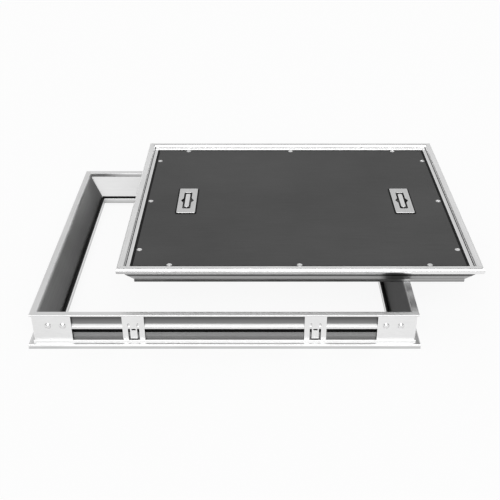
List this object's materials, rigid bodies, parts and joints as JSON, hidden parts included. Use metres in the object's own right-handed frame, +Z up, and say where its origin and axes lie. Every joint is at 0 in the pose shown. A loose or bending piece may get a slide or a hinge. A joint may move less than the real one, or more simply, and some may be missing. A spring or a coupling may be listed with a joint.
{
  "type": "floor access hatch",
  "caption": "Lift-out floor access hatch: mitred aluminium frame with anchor clips and a displaced recessed cover with a dark board and flush lift handles.",
  "frame": {"origin": "centre of the frame's clear opening, in the plane of the foot's underside, which the frame stands on", "axes": "+Z up, +X to the right along the frame's long side, +Y to the back"},
  "size_m": [1.248, 0.969, 0.189],
  "materials": {
    "frame_aluminium": "mill finish extrusion, fine lengthwise draw lines",
    "bracket_aluminium": "bright satin plate",
    "rivet_aluminium": "bright formed head",
    "gasket_rubber": "matt black solid rubber",
    "rim_aluminium": "satin extrusion with lengthwise draw lines",
    "key_steel": "plain pressed steel",
    "deck_board": "dark laminated board with a faint grain",
    "pan_aluminium": "mill finish sheet",
    "beam_aluminium": "mill finish section",
    "screw_steel": "bright stainless head",
    "plate_steel": "brushed stainless plate with bright bevels",
    "cup_steel": "pressed cup, dull",
    "bar_steel": "brushed stainless bar",
    "bush_nylon": "natural nylon",
    "collar_steel": "turned steel"
  },
  "bodies": {
    "frame": {"anchor_clip_back_1": "bracket_aluminium", "anchor_clip_back_2": "bracket_aluminium", "anchor_clip_front_1": "bracket_aluminium", "anchor_clip_front_2": "bracket_aluminium", "anchor_clip_left_1": "bracket_aluminium", "anchor_clip_left_2": "bracket_aluminium", "anchor_clip_right_1": "bracket_aluminium", "anchor_clip_right_2": "bracket_aluminium", "corner_bracket_back_left": "bracket_aluminium", "corner_bracket_back_right": "bracket_aluminium", "corner_bracket_front_left": "bracket_aluminium", "corner_bracket_front_right": "bracket_aluminium", "corner_rivets": "rivet_aluminium", "frame_rail_back": "frame_aluminium", "frame_rail_front": "frame_aluminium", "frame_rail_left": "frame_aluminium", "frame_rail_right": "frame_aluminium", "seat_gasket_back": "gasket_rubber", "seat_gasket_front": "gasket_rubber", "seat_gasket_left": "gasket_rubber", "seat_gasket_right": "gasket_rubber"},
    "cover": {"board_screws": "screw_steel", "board_seal": "gasket_rubber", "cover_pan": "pan_aluminium", "cover_rim_back": "rim_aluminium", "cover_rim_front": "rim_aluminium", "cover_rim_left": "rim_aluminium", "cover_rim_right": "rim_aluminium", "deck_beam_1": "beam_aluminium", "deck_beam_2": "beam_aluminium", "deck_beam_3": "beam_aluminium", "deck_board": "deck_board", "handle_bushes_left": "bush_nylon", "handle_bushes_right": "bush_nylon", "handle_cup_left": "cup_steel", "handle_cup_right": "cup_steel", "handle_plate_left": "plate_steel", "handle_plate_right": "plate_steel", "handle_seal_left": "gasket_rubber", "handle_seal_right": "gasket_rubber", "pan_rivets": "rivet_aluminium", "pan_stiffener_1": "beam_aluminium", "pan_stiffener_2": "beam_aluminium", "pan_stiffener_3": "beam_aluminium", "pan_stiffener_4": "beam_aluminium", "rim_key_back_left": "key_steel", "rim_key_back_right": "key_steel", "rim_key_front_left": "key_steel", "rim_key_front_right": "key_steel"},
    "left_lift_bar": {"handle_bar_left": "bar_steel", "handle_collars_left": "collar_steel"},
    "right_lift_bar": {"handle_bar_right": "bar_steel", "handle_collars_right": "collar_steel"}
  },
  "joints": [
    {"name": "cover_lift", "type": "slide", "parent": "frame", "child": "cover", "axis": [0, 0, 1], "range_m": [0, 0.3]},
    {"name": "left_bar_slide", "type": "slide", "parent": "cover", "child": "left_lift_bar", "axis": [0, 0, 1], "range_m": [0, 0.023]},
    {"name": "right_bar_slide", "type": "slide", "parent": "cover", "child": "right_lift_bar", "axis": [0, 0, 1], "range_m": [0, 0.023]}
  ]
}
